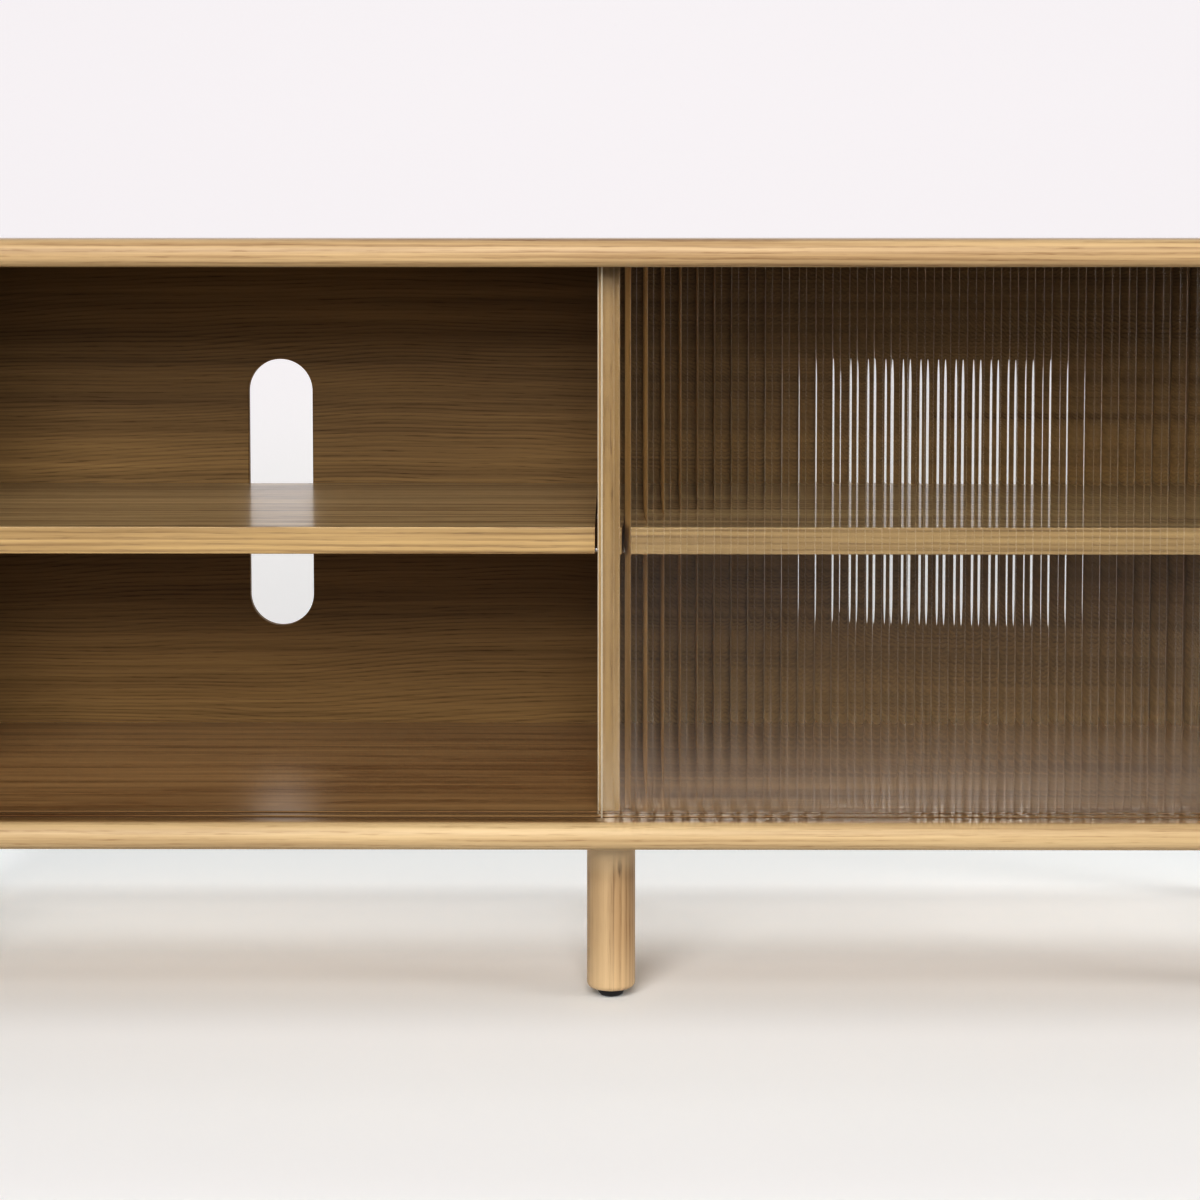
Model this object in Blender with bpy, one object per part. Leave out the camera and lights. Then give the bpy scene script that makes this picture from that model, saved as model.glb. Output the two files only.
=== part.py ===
"""Media cabinet: two bays behind a pair of sliding reeded-glass doors, on six round legs.

Metres, +Z up, +X to the right, -Y to the front. The origin is on the floor under the middle of the
cabinet. The right door is closed and the left door is slid fully open behind it.
"""

import math

import bmesh
import bpy
from mathutils import Matrix, Vector

# Overall size
WIDTH = 1.160
DEPTH = 0.400
HEIGHT = 0.562
CARCASS_HEIGHT = 0.440
PANEL = 0.020
GAP = 0.0003
OVERCUT = 0.001
CHAMFER = 0.001

# Carcass details
NOSE_DEPTH = 0.009
NOSE_STEPS = 10
OUTER_EDGE_RADIUS = 0.003
OUTER_EDGE_STEPS = 6
EASED_EDGE = 0.001
DIVIDER_SETBACK = 0.046
REBATE = 0.008
BACK_SETBACK = 0.385
BACK_THICKNESS = 0.009
SLOT_WIDTH = 0.055
SLOT_LOW = 0.105
SLOT_HIGH = 0.336
SLOT_ARC_STEPS = 16

# Shelves and their pins
SHELF_SETBACK = 0.052
SHELF_REAR_GAP = 0.004
SHELF_END_GAP = 0.002
SHELF_TOP = 0.229
PIN_RADIUS = 0.0025
PIN_LENGTH = 0.016
PIN_DEPTH = 0.008
PIN_INSET = 0.050

# Sliding doors and their grooves
REED_PITCH = 0.0122
REED_COUNT = 46
REED_STEPS = 4
REED_DEPTH = 0.0012
REED_SQUARENESS = 3.5
GLASS_THICKNESS = 0.005
GLASS_MARGIN = 0.00265
GROOVE_WIDTH = 0.0065
FRONT_GROOVE_SETBACK = 0.0255
REAR_GROOVE_SETBACK = 0.0395
LOWER_GROOVE_DEPTH = 0.007
UPPER_GROOVE_DEPTH = 0.013
GLASS_IN_UPPER_GROOVE = 0.0055
RUNNER_THICKNESS = 0.001
RUNNER_WIDTH = 0.0058
RUNNER_END_GAP = 0.001
FRONT_DOOR_LEFT = -0.0075
REAR_DOOR_LEFT = -0.0100

# Legs, glides and their fixings
LEG_RADIUS = 0.018
LEG_EDGE_RADIUS = 0.004
LEG_EDGE_STEPS = 3
LEG_SIDES = 32
LEG_SETBACK = 0.062
LEG_END_SETBACK = 0.038
GLIDE_HEIGHT = 0.006
GLIDE_TOP_RADIUS = 0.010
GLIDE_FOOT_RADIUS = 0.0058
GLIDE_RIM = 0.0012
GLIDE_STEPS = 4
GLIDE_SIDES = 24
SPIGOT_RADIUS = 0.0025
SPIGOT_TOP = 0.018
BOLT_RADIUS = 0.004
BOLT_IN_LEG = 0.035
BOLT_IN_PANEL = 0.013
INSERT_RADIUS = 0.006
INSERT_LENGTH = 0.014

# Joinery
SPLINE_THICKNESS = 0.004
SPLINE_WIDTH = 0.014
SPLINE_INSET = 0.008
SPLINE_FRONT = -0.140
SPLINE_REAR = 0.165
DOWEL_RADIUS = 0.004
DOWEL_IN_PANEL = 0.010
DOWEL_IN_DIVIDER = 0.020
DOWEL_FRONT = -0.120
DOWEL_REAR = 0.160
SCREW_RADIUS = 0.00175
SCREW_HEAD_RADIUS = 0.0035
SCREW_HEAD_RIM = 0.0004
SCREW_HEAD_DEPTH = 0.0025
SCREW_LENGTH = 0.022
SCREW_EDGE_INSET = 0.0045
SCREW_SIDES = 10
RAIL_SCREW_X = 0.280
DIVIDER_SCREW_OFFSET = 0.120
ROUND_SIDES = 12

# Places worked out from the sizes above
FRONT = -DEPTH / 2
BACK = DEPTH / 2
OUTER_X = WIDTH / 2
INNER_X = OUTER_X - PANEL
TOP = HEIGHT
UNDER = HEIGHT - CARCASS_HEIGHT
FLOOR_Z = UNDER + PANEL
CEILING_Z = TOP - PANEL
MITRE_GAP = GAP / math.sqrt(2)
BACK_FRONT = FRONT + BACK_SETBACK
BACK_REAR = BACK_FRONT + BACK_THICKNESS
BAY_CENTRE = (INNER_X + PANEL / 2) / 2
SHELF_TOP_Z = UNDER + SHELF_TOP
SHELF_LOW_Z = SHELF_TOP_Z - PANEL
SHELF_FRONT = FRONT + SHELF_SETBACK
SHELF_REAR = BACK_FRONT - SHELF_REAR_GAP
PIN_Z = SHELF_LOW_Z - GAP - PIN_RADIUS
PIN_ROWS = {"front": SHELF_FRONT + PIN_INSET, "rear": SHELF_REAR - PIN_INSET}
FRONT_GROOVE = FRONT + FRONT_GROOVE_SETBACK
REAR_GROOVE = FRONT + REAR_GROOVE_SETBACK
RUNNER_LOW_Z = FLOOR_Z - LOWER_GROOVE_DEPTH + GAP
GLASS_LOW_Z = RUNNER_LOW_Z + RUNNER_THICKNESS + GAP
GLASS_HIGH_Z = CEILING_Z + GLASS_IN_UPPER_GROOVE
GLASS_WIDTH = REED_COUNT * REED_PITCH + 2 * GLASS_MARGIN
LEG_TOP_Z = UNDER - GAP
BOLT_LOW_Z = UNDER - BOLT_IN_LEG
LEG_X = OUTER_X - LEG_END_SETBACK
LEG_ROWS = {"front": FRONT + LEG_SETBACK, "rear": BACK - LEG_SETBACK}
LEG_COLUMNS = {"left": -LEG_X, "centre": 0.0, "right": LEG_X}
LEG_PLACES = {f"{row}_{column}": (x, y) for row, y in LEG_ROWS.items() for column, x in LEG_COLUMNS.items()}
MIDDLE_Z = (TOP + UNDER) / 2
SIDES = {"left": -1, "right": 1}


# Basic shapes ------------------------------------------------------------------------------------


def clear_scene():
    for old in list(bpy.data.objects):
        bpy.data.objects.remove(old)


def surface(name, colour, roughness, metallic=0.0, alpha=1.0):
    """A material with one Principled shader."""
    made = bpy.data.materials.new(name)
    made.use_nodes = True
    shader = made.node_tree.nodes["Principled BSDF"]
    shader.inputs["Base Color"].default_value = (*colour, 1.0)
    shader.inputs["Roughness"].default_value = roughness
    shader.inputs["Metallic"].default_value = metallic
    shader.inputs["Alpha"].default_value = alpha
    made.diffuse_color = (*colour, alpha)
    return made


def add_object(name, shape, look=None, location=(0, 0, 0), smooth=False):
    """Puts a bmesh, or a mesh that is already made, into the scene as one object."""
    if isinstance(shape, bmesh.types.BMesh):
        bmesh.ops.recalc_face_normals(shape, faces=shape.faces)
        mesh = bpy.data.meshes.new(name)
        shape.to_mesh(mesh)
        shape.free()
        if smooth:
            mesh.shade_smooth()
            mesh.set_sharp_from_angle(angle=math.radians(35))
    else:
        mesh = shape
    if look and not mesh.materials:
        mesh.materials.append(look)
    made = bpy.data.objects.new(name, mesh)
    made.location = location
    bpy.context.scene.collection.objects.link(made)
    return made


def close_rings(bm, rings):
    """Skins rings of equal length one to the next and caps the first and the last."""
    count = len(rings[0])
    for low, high in zip(rings, rings[1:]):
        for i in range(count):
            j = (i + 1) % count
            bm.faces.new((low[i], low[j], high[j], high[i]))
    bm.faces.new(list(reversed(rings[0])))
    bm.faces.new(rings[-1])


def add_prism(bm, outline, start, end, place):
    """Extrudes an outline of (u, v) points. start and end give w at (u, v); place makes (u, v, w) a point."""
    rings = [[bm.verts.new(place(u, v, w(u, v))) for u, v in outline] for w in (start, end)]
    close_rings(bm, rings)


def level(w):
    """A flat end of a prism."""
    return lambda u, v: w


def along_x(u, v, w):
    return (w, u, v)


def along_y(u, v, w):
    return (u, w, v)


def along_z(u, v, w):
    return (u, v, w)


def add_box(bm, low, high):
    """A box between two corners."""
    (x0, y0, z0), (x1, y1, z1) = low, high
    outline = [(x0, y0), (x1, y0), (x1, y1), (x0, y1)]
    add_prism(bm, outline, level(z0), level(z1), along_z)


def add_turned(bm, profile, sides, centre=(0, 0, 0), axis=(0, 0, 1)):
    """Turns a profile of (radius, height) points about an axis. Both ends are capped flat."""
    turn = Vector((0, 0, 1)).rotation_difference(Vector(axis)).to_matrix().to_4x4()
    frame = Matrix.Translation(centre) @ turn
    rings = []
    for radius, height in profile:
        ring = []
        for i in range(sides):
            angle = math.tau * (i + 0.5) / sides
            point = Vector((radius * math.cos(angle), radius * math.sin(angle), height))
            ring.append(bm.verts.new(frame @ point))
        rings.append(ring)
    close_rings(bm, rings)


def add_tube(bm, outer, inner, length, sides, centre):
    """An upright ring with a hole through it."""
    rings = []
    for radius, height in ((inner, 0), (outer, 0), (outer, length), (inner, length)):
        ring = []
        for i in range(sides):
            angle = math.tau * (i + 0.5) / sides
            offset = Vector((radius * math.cos(angle), radius * math.sin(angle), height))
            ring.append(bm.verts.new(Vector(centre) + offset))
        rings.append(ring)
    for low, high in zip(rings, rings[1:] + rings[:1]):
        for i in range(sides):
            j = (i + 1) % sides
            bm.faces.new((low[i], low[j], high[j], high[i]))


def cutter(name, bm):
    """A wire object that only cuts others."""
    made = add_object(name, bm)
    made.display_type = "WIRE"
    made.hide_render = True
    return made


def cut(target, *tools):
    """Subtracts each cutter from the target."""
    for tool in tools:
        step = target.modifiers.new(tool.name, "BOOLEAN")
        step.operation = "DIFFERENCE"
        step.solver = "EXACT"
        step.object = tool


# Outlines ----------------------------------------------------------------------------------------


def nose_arc():
    """The rounded front edge as (depth, thickness) points, from one face of a panel to the other."""
    points = []
    for i in range(NOSE_STEPS + 1):
        angle = math.pi * i / NOSE_STEPS - math.pi / 2
        depth = FRONT + NOSE_DEPTH * (1 - math.cos(angle))
        points.append((depth, PANEL / 2 * (1 + math.sin(angle))))
    return points


def rebated_section(grooves=()):
    """A panel's section as (depth, distance from its inner face): nose, outer face, rear rebate, grooves."""
    points = nose_arc()
    points += [(BACK, PANEL), (BACK, REBATE), (BACK_FRONT - GAP, REBATE), (BACK_FRONT - GAP, 0)]
    for centre, depth in grooves:
        rear, front = centre + GROOVE_WIDTH / 2, centre - GROOVE_WIDTH / 2
        points += [(rear, 0), (rear, depth), (front, depth), (front, 0)]
    return points


def eased_board(front, rear, low, high):
    """A board's section with small chamfers on its two front edges, as (depth, height) points."""
    return [
        (front + EASED_EDGE, low),
        (rear, low),
        (rear, high),
        (front + EASED_EDGE, high),
        (front, high - EASED_EDGE),
        (front, low + EASED_EDGE),
    ]


def stadium(centre_x, low, high, width):
    """A tall slot with full-round ends, as (x, z) points."""
    radius = width / 2
    points = []
    for middle, first in ((high - radius, 0.0), (low + radius, math.pi)):
        for i in range(SLOT_ARC_STEPS + 1):
            angle = first + math.pi * i / SLOT_ARC_STEPS
            points.append((centre_x + radius * math.cos(angle), middle + radius * math.sin(angle)))
    return points


def reeded_section():
    """A pane's section seen from above, as (x, y) points: broad convex reeds on the front, a flat back."""
    half = REED_PITCH / 2
    valley = REED_DEPTH - GLASS_THICKNESS / 2
    points = [(GLASS_WIDTH, GLASS_THICKNESS / 2), (0, GLASS_THICKNESS / 2), (0, valley)]
    for reed in range(REED_COUNT):
        for step in range(REED_STEPS):
            offset = REED_PITCH * step / REED_STEPS - half
            rise = REED_DEPTH * (1 - abs(offset / half) ** REED_SQUARENESS)
            points.append((GLASS_MARGIN + reed * REED_PITCH + half + offset, valley - rise))
    points += [(GLASS_WIDTH - GLASS_MARGIN, valley), (GLASS_WIDTH, valley)]
    return points


# Fastener places: name -> (centre, axis) ---------------------------------------------------------


def spline_places():
    """The loose tongue across each mitre. The axis crosses the joint."""
    places = {}
    for end, inner_z, sz in (("top", CEILING_Z, 1), ("bottom", FLOOR_Z, -1)):
        for side, sx in SIDES.items():
            centre = (sx * (INNER_X + SPLINE_INSET), 0.0, inner_z + sz * SPLINE_INSET)
            places[f"corner_spline_{end}_{side}"] = (centre, (sx, 0, -sz))
    return places


def dowel_places():
    """Upright dowels at both ends of the divider, each from its low end."""
    places = {}
    for end, low in (("top", CEILING_Z - DOWEL_IN_DIVIDER), ("bottom", FLOOR_Z - DOWEL_IN_PANEL)):
        for row, y in (("front", DOWEL_FRONT), ("rear", DOWEL_REAR)):
            places[f"divider_dowel_{end}_{row}"] = ((0.0, y, low), (0, 0, 1))
    return places


def screw_places():
    """Screws through the back panel, each from the middle of its head."""
    head = BACK_REAR - GAP
    spots = {}
    for side, sx in SIDES.items():
        spots[f"top_{side}"] = (sx * RAIL_SCREW_X, CEILING_Z + SCREW_EDGE_INSET)
        spots[f"bottom_{side}"] = (sx * RAIL_SCREW_X, FLOOR_Z - SCREW_EDGE_INSET)
        spots[f"end_{side}"] = (sx * (INNER_X + SCREW_EDGE_INSET), MIDDLE_Z)
    spots["divider_upper"] = (0.0, MIDDLE_Z + DIVIDER_SCREW_OFFSET)
    spots["divider_lower"] = (0.0, MIDDLE_Z - DIVIDER_SCREW_OFFSET)
    return {f"back_screw_{spot}": ((x, head, z), (0, -1, 0)) for spot, (x, z) in spots.items()}


def pin_places(side):
    """The four shelf pins of one bay, each from the end that is in the wall."""
    sx = SIDES[side]
    places = {}
    for wall, face, out in (("outer", INNER_X, -1), ("inner", PANEL / 2, 1)):
        for row, y in PIN_ROWS.items():
            centre = (sx * (face - out * PIN_DEPTH), y, PIN_Z)
            places[f"shelf_pin_{side}_{wall}_{row}"] = (centre, (sx * out, 0, 0))
    return places


def leg_fixing_places(prefix, z):
    """One fixing at every leg."""
    return {f"{prefix}_{leg}": ((x, y, z), (0, 0, 1)) for leg, (x, y) in LEG_PLACES.items()}


# Fasteners: each is drawn at a centre along an axis, larger all round by spare ---------------------


def add_spline(bm, centre, axis, spare):
    across = Vector(axis).normalized()
    along = Vector((-across.z, 0, across.x))
    half_t, half_w = SPLINE_THICKNESS / 2 + spare, SPLINE_WIDTH / 2 + spare
    outline = []
    for t, w in ((-1, -1), (1, -1), (1, 1), (-1, 1)):
        corner = Vector(centre) + along * half_t * t + across * half_w * w
        outline.append((corner.x, corner.z))
    add_prism(bm, outline, level(SPLINE_FRONT - spare), level(SPLINE_REAR + spare), along_y)


def add_rod(bm, centre, axis, radius, length, chamfer, spare):
    """A round rod with chamfered ends, or the plain hole that it sits in."""
    if spare:
        profile = [(radius + spare, -spare), (radius + spare, length + spare)]
    else:
        profile = [(radius - chamfer, 0), (radius, chamfer)]
        profile += [(radius, length - chamfer), (radius - chamfer, length)]
    add_turned(bm, profile, ROUND_SIDES, centre, axis)


def add_dowel(bm, centre, axis, spare):
    add_rod(bm, centre, axis, DOWEL_RADIUS, DOWEL_IN_PANEL + DOWEL_IN_DIVIDER, CHAMFER, spare)


def add_pin(bm, centre, axis, spare):
    add_rod(bm, centre, axis, PIN_RADIUS, PIN_LENGTH, CHAMFER / 2, spare)


def add_bolt(bm, centre, axis, spare):
    add_rod(bm, centre, axis, BOLT_RADIUS, BOLT_IN_LEG + BOLT_IN_PANEL, CHAMFER, spare)


def add_screw(bm, centre, axis, spare):
    """A countersunk screw. Its hole runs out past the head."""
    radius, head_radius = SCREW_RADIUS + spare, SCREW_HEAD_RADIUS + spare
    profile = [(head_radius, -2 * spare), (head_radius, SCREW_HEAD_RIM), (radius, SCREW_HEAD_DEPTH)]
    profile.append((radius, SCREW_LENGTH + spare))
    add_turned(bm, profile, SCREW_SIDES, centre, axis)


def add_insert(bm, centre, axis, spare):
    """A threaded insert as a plain ring, or the blind hole that it sits in."""
    if spare:
        profile = [(INSERT_RADIUS + spare, -OVERCUT), (INSERT_RADIUS + spare, INSERT_LENGTH + spare)]
        add_turned(bm, profile, ROUND_SIDES, centre, axis)
    else:
        add_tube(bm, INSERT_RADIUS, BOLT_RADIUS + GAP, INSERT_LENGTH, ROUND_SIDES, centre)


def make_fasteners(look, add_piece, places, smooth=True):
    """One node at every place."""
    for name, (centre, axis) in places.items():
        bm = bmesh.new()
        add_piece(bm, (0, 0, 0), axis, 0)
        add_object(name, bm, look, location=centre, smooth=smooth)


def hole_cutter(name, add_piece, places):
    """One cutter with a hole for the fastener at every place."""
    bm = bmesh.new()
    for centre, axis in places.values():
        add_piece(bm, centre, axis, GAP)
    return cutter(name, bm)


# Carcass -----------------------------------------------------------------------------------------


def outer_edge_cutter():
    """Rounds the four long outside edges of the carcass."""
    bm = bmesh.new()
    radius = OUTER_EDGE_RADIUS
    cx, cz = OUTER_X - radius, CARCASS_HEIGHT / 2 - radius
    far = radius + OVERCUT
    points = []
    for i in range(OUTER_EDGE_STEPS + 1):
        angle = math.pi / 2 * i / OUTER_EDGE_STEPS
        points.append((cx + radius * math.cos(angle), cz + radius * math.sin(angle)))
    points += [(cx, cz + far), (cx + far, cz + far), (cx + far, cz)]
    for sx in (-1, 1):
        for sz in (-1, 1):
            outline = [(sx * x, MIDDLE_Z + sz * z) for x, z in points]
            add_prism(bm, outline, level(FRONT - OVERCUT), level(BACK + OVERCUT), along_y)
    return cutter("outer_edge_cutter", bm)


def make_horizontal_panel(name, look, inner_z, up, groove_depth):
    """The top (up = 1) or bottom (up = -1) panel, with door grooves in its inner face."""
    grooves = ((REAR_GROOVE, groove_depth), (FRONT_GROOVE, groove_depth))
    outline = [(y, inner_z + up * t) for y, t in rebated_section(grooves)]

    def right_end(_, z):
        return INNER_X + abs(z - inner_z) - MITRE_GAP

    def left_end(_, z):
        return -right_end(_, z)

    bm = bmesh.new()
    add_prism(bm, outline, left_end, right_end, along_x)
    return add_object(name, bm, look)


def make_side_panel(name, look, side):
    """One end panel, mitred at both ends. side is -1 for the left one and 1 for the right one."""
    outline = [(side * (INNER_X + t), y) for y, t in rebated_section()]

    def low(x, _):
        return FLOOR_Z - (abs(x) - INNER_X) + MITRE_GAP

    def high(x, _):
        return CEILING_Z + (abs(x) - INNER_X) - MITRE_GAP

    bm = bmesh.new()
    add_prism(bm, outline, low, high, along_z)
    return add_object(name, bm, look)


def make_divider(look):
    front = FRONT + DIVIDER_SETBACK
    outline = [(x, y) for y, x in eased_board(front, BACK_FRONT - GAP, -PANEL / 2, PANEL / 2)]
    bm = bmesh.new()
    add_prism(bm, outline, level(FLOOR_Z + GAP), level(CEILING_Z - GAP), along_z)
    return add_object("centre_divider", bm, look)


def make_back_panel(look):
    reach = REBATE - GAP
    bm = bmesh.new()
    low = (-INNER_X - reach, BACK_FRONT, FLOOR_Z - reach)
    add_box(bm, low, (INNER_X + reach, BACK_REAR, CEILING_Z + reach))
    return add_object("back_panel", bm, look)


def cable_slot_cutter():
    bm = bmesh.new()
    for side in SIDES.values():
        outline = stadium(side * BAY_CENTRE, UNDER + SLOT_LOW, UNDER + SLOT_HIGH, SLOT_WIDTH)
        add_prism(bm, outline, level(BACK_FRONT - OVERCUT), level(BACK_REAR + OVERCUT), along_y)
    return cutter("cable_slot_cutter", bm)


def make_carcass(oak):
    """The six panels, with every hole that a fastener sits in."""
    edges = outer_edge_cutter()
    splines = hole_cutter("spline_slot_cutter", add_spline, spline_places())
    dowels = hole_cutter("dowel_hole_cutter", add_dowel, dowel_places())
    screws = hole_cutter("screw_hole_cutter", add_screw, screw_places())
    inserts = hole_cutter("insert_hole_cutter", add_insert, leg_fixing_places("insert", UNDER + GAP))
    pins = {side: hole_cutter(f"{side}_pin_hole_cutter", add_pin, pin_places(side)) for side in SIDES}

    top = make_horizontal_panel("top_panel", oak, CEILING_Z, 1, UPPER_GROOVE_DEPTH)
    cut(top, edges, splines, dowels, screws)
    bottom = make_horizontal_panel("bottom_panel", oak, FLOOR_Z, -1, LOWER_GROOVE_DEPTH)
    cut(bottom, edges, splines, dowels, screws, inserts)
    for side, sx in SIDES.items():
        panel = make_side_panel(f"side_panel_{side}", oak, sx)
        cut(panel, edges, splines, screws, pins[side])
    cut(make_divider(oak), dowels, screws, pins["left"], pins["right"])
    cut(make_back_panel(oak), cable_slot_cutter(), screws)


# Shelves, doors and runners ----------------------------------------------------------------------


def make_shelf(name, look, side):
    outline = eased_board(SHELF_FRONT, SHELF_REAR, SHELF_LOW_Z, SHELF_TOP_Z)
    ends = sorted((side * (PANEL / 2 + SHELF_END_GAP), side * (INNER_X - SHELF_END_GAP)))
    bm = bmesh.new()
    add_prism(bm, outline, level(ends[0]), level(ends[1]), along_x)
    return add_object(name, bm, look)


def make_door(name, look, left, groove):
    """A reeded pane. Its origin is at its lower left corner, in the middle of its groove."""
    bm = bmesh.new()
    add_prism(bm, reeded_section(), level(0), level(GLASS_HIGH_Z - GLASS_LOW_Z), along_z)
    return add_object(name, bm, look, location=(left, groove, GLASS_LOW_Z))


def make_runner(name, look, groove):
    """A thin strip on the floor of a lower groove."""
    reach, half = INNER_X - RUNNER_END_GAP, RUNNER_WIDTH / 2
    bm = bmesh.new()
    add_box(bm, (-reach, -half, 0), (reach, half, RUNNER_THICKNESS))
    return add_object(name, bm, look, location=(0, groove, RUNNER_LOW_Z))


# Legs and glides ---------------------------------------------------------------------------------


def evaluated_mesh(made, tool, name):
    """Applies one cutter and keeps only the finished mesh, for several objects to share."""
    cut(made, tool)
    graph = bpy.context.evaluated_depsgraph_get()
    shape = bpy.data.meshes.new_from_object(made.evaluated_get(graph))
    bpy.data.objects.remove(made)
    bpy.data.objects.remove(tool)
    shape.name = name
    return shape


def leg_shape(look):
    """A turned leg with a rounded foot, a bolt hole in its top and a hole in its foot for the glide."""
    low = GLIDE_HEIGHT + GAP
    profile = []
    for i in range(LEG_EDGE_STEPS + 1):
        angle = math.pi / 2 * i / LEG_EDGE_STEPS
        radius = LEG_RADIUS - LEG_EDGE_RADIUS * (1 - math.sin(angle))
        profile.append((radius, low + LEG_EDGE_RADIUS * (1 - math.cos(angle))))
    profile.append((LEG_RADIUS, LEG_TOP_Z))
    bm = bmesh.new()
    add_turned(bm, profile, LEG_SIDES)
    blank = add_object("leg_blank", bm, look, smooth=True)
    bolt_hole, spigot_hole = BOLT_RADIUS + GAP, SPIGOT_RADIUS + GAP
    bm = bmesh.new()
    add_turned(bm, [(bolt_hole, BOLT_LOW_Z - GAP), (bolt_hole, UNDER + OVERCUT)], ROUND_SIDES)
    add_turned(bm, [(spigot_hole, low - OVERCUT), (spigot_hole, SPIGOT_TOP + GAP)], ROUND_SIDES)
    return evaluated_mesh(blank, cutter("leg_hole_cutter", bm), "leg")


def glide_shape(look):
    """A domed glide with a spigot that pushes into the leg, in one piece."""
    profile = []
    for i in range(GLIDE_STEPS + 1):
        angle = math.pi / 2 * i / GLIDE_STEPS
        radius = GLIDE_FOOT_RADIUS + (GLIDE_TOP_RADIUS - GLIDE_FOOT_RADIUS) * math.sin(angle)
        profile.append((radius, (GLIDE_HEIGHT - GLIDE_RIM) * (1 - math.cos(angle))))
    profile += [(GLIDE_TOP_RADIUS, GLIDE_HEIGHT), (SPIGOT_RADIUS, GLIDE_HEIGHT)]
    profile += [(SPIGOT_RADIUS, SPIGOT_TOP - CHAMFER), (SPIGOT_RADIUS - CHAMFER, SPIGOT_TOP)]
    bm = bmesh.new()
    add_turned(bm, profile, GLIDE_SIDES)
    made = add_object("glide_blank", bm, look, smooth=True)
    shape = made.data
    bpy.data.objects.remove(made)
    shape.name = "glide"
    return shape


def make_legs(oak, black):
    leg, glide = leg_shape(oak), glide_shape(black)
    for place, (x, y) in LEG_PLACES.items():
        add_object(f"leg_{place}", leg, location=(x, y, 0))
        add_object(f"glide_{place}", glide, location=(x, y, 0))


def build():
    clear_scene()
    oak = surface("oak_veneer", (0.52, 0.36, 0.20), 0.45)
    solid_oak = surface("solid_oak", (0.60, 0.42, 0.24), 0.45)
    glass = surface("reeded_glass", (0.85, 0.88, 0.86), 0.05, alpha=0.35)
    nylon = surface("runner_nylon", (0.30, 0.22, 0.15), 0.5)
    black = surface("black_nylon", (0.02, 0.02, 0.02), 0.4)
    steel = surface("zinc_steel", (0.62, 0.62, 0.63), 0.35, metallic=1.0)
    birch = surface("birch", (0.66, 0.52, 0.34), 0.6)

    make_carcass(oak)
    for side, sx in SIDES.items():
        make_shelf(f"shelf_{side}", oak, sx)
        make_fasteners(steel, add_pin, pin_places(side))
    make_door("glass_door_right", glass, FRONT_DOOR_LEFT, FRONT_GROOVE)
    make_door("glass_door_left", glass, REAR_DOOR_LEFT, REAR_GROOVE)
    make_runner("runner_front", nylon, FRONT_GROOVE)
    make_runner("runner_rear", nylon, REAR_GROOVE)
    make_legs(solid_oak, black)
    make_fasteners(steel, add_bolt, leg_fixing_places("hanger_bolt", BOLT_LOW_Z))
    make_fasteners(steel, add_insert, leg_fixing_places("leg_insert", UNDER + GAP))
    make_fasteners(birch, add_spline, spline_places(), smooth=False)
    make_fasteners(birch, add_dowel, dowel_places())
    make_fasteners(steel, add_screw, screw_places())


build()
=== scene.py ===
"""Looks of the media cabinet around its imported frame: oak, reeded glass, turned legs and small fittings.

Metres, in the frame's own axes: +X to the right, -Y to the front, +Z up. Pieces are built where the
frame's boxes say, each with its origin at the frame's own origin.
"""
import math

import bmesh
import bpy
from mathutils import Matrix, Vector


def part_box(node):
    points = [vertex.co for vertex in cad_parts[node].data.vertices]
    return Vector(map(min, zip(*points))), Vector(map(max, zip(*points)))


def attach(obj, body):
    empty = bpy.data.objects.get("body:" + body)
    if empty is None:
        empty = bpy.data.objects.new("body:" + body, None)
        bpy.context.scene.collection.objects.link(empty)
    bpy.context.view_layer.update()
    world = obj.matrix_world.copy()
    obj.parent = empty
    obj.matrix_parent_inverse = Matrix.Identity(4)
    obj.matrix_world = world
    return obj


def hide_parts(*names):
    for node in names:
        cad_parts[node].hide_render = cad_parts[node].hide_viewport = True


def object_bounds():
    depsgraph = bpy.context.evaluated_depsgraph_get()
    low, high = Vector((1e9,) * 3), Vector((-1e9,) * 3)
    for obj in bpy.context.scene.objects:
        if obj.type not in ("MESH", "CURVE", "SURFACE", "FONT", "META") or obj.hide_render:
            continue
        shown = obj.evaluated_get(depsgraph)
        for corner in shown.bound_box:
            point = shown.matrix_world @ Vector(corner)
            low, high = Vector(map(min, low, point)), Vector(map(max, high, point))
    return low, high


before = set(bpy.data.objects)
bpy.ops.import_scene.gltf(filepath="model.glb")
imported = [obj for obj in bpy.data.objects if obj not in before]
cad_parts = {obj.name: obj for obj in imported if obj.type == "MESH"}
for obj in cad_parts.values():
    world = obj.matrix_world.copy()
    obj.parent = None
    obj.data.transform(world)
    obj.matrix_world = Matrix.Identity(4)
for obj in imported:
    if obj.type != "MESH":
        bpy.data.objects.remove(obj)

# Camera
CAMERA_PLACE = (0.0010, -2.0256, 0.5668)
CAMERA_DOWN = math.radians(3.375)
CAMERA_LEFT = math.radians(0.281)
CAMERA_LENS = 77.18
CAMERA_SHIFT_Y = -0.18

# Outlines of the boards
NOSE_DEPTH = 0.009
NOSE_STEPS = 28
REBATE = 0.008
ARRIS = 0.0004
EASED_EDGE = 0.0009
EASED_STEPS = 4
OUTER_EDGE_RADIUS = 0.003
OUTER_EDGE_STEPS = 10
MITRE_GAP = 0.0002
OVERCUT = 0.001
SHARP_ANGLE = math.radians(35)

# Back board, its cable slots and screws
SLOT_CENTRE_X = 0.285
SLOT_WIDTH = 0.055
SLOT_LOW_Z = 0.227
SLOT_HIGH_Z = 0.458
SLOT_STEPS = 40
SCREW_SIDES = 48
SCREW_CLEARANCE = 0.0001
RECESS_WIDTH = 0.0008
RECESS_REACH = 0.0018
RECESS_DEPTH = 0.0012

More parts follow.
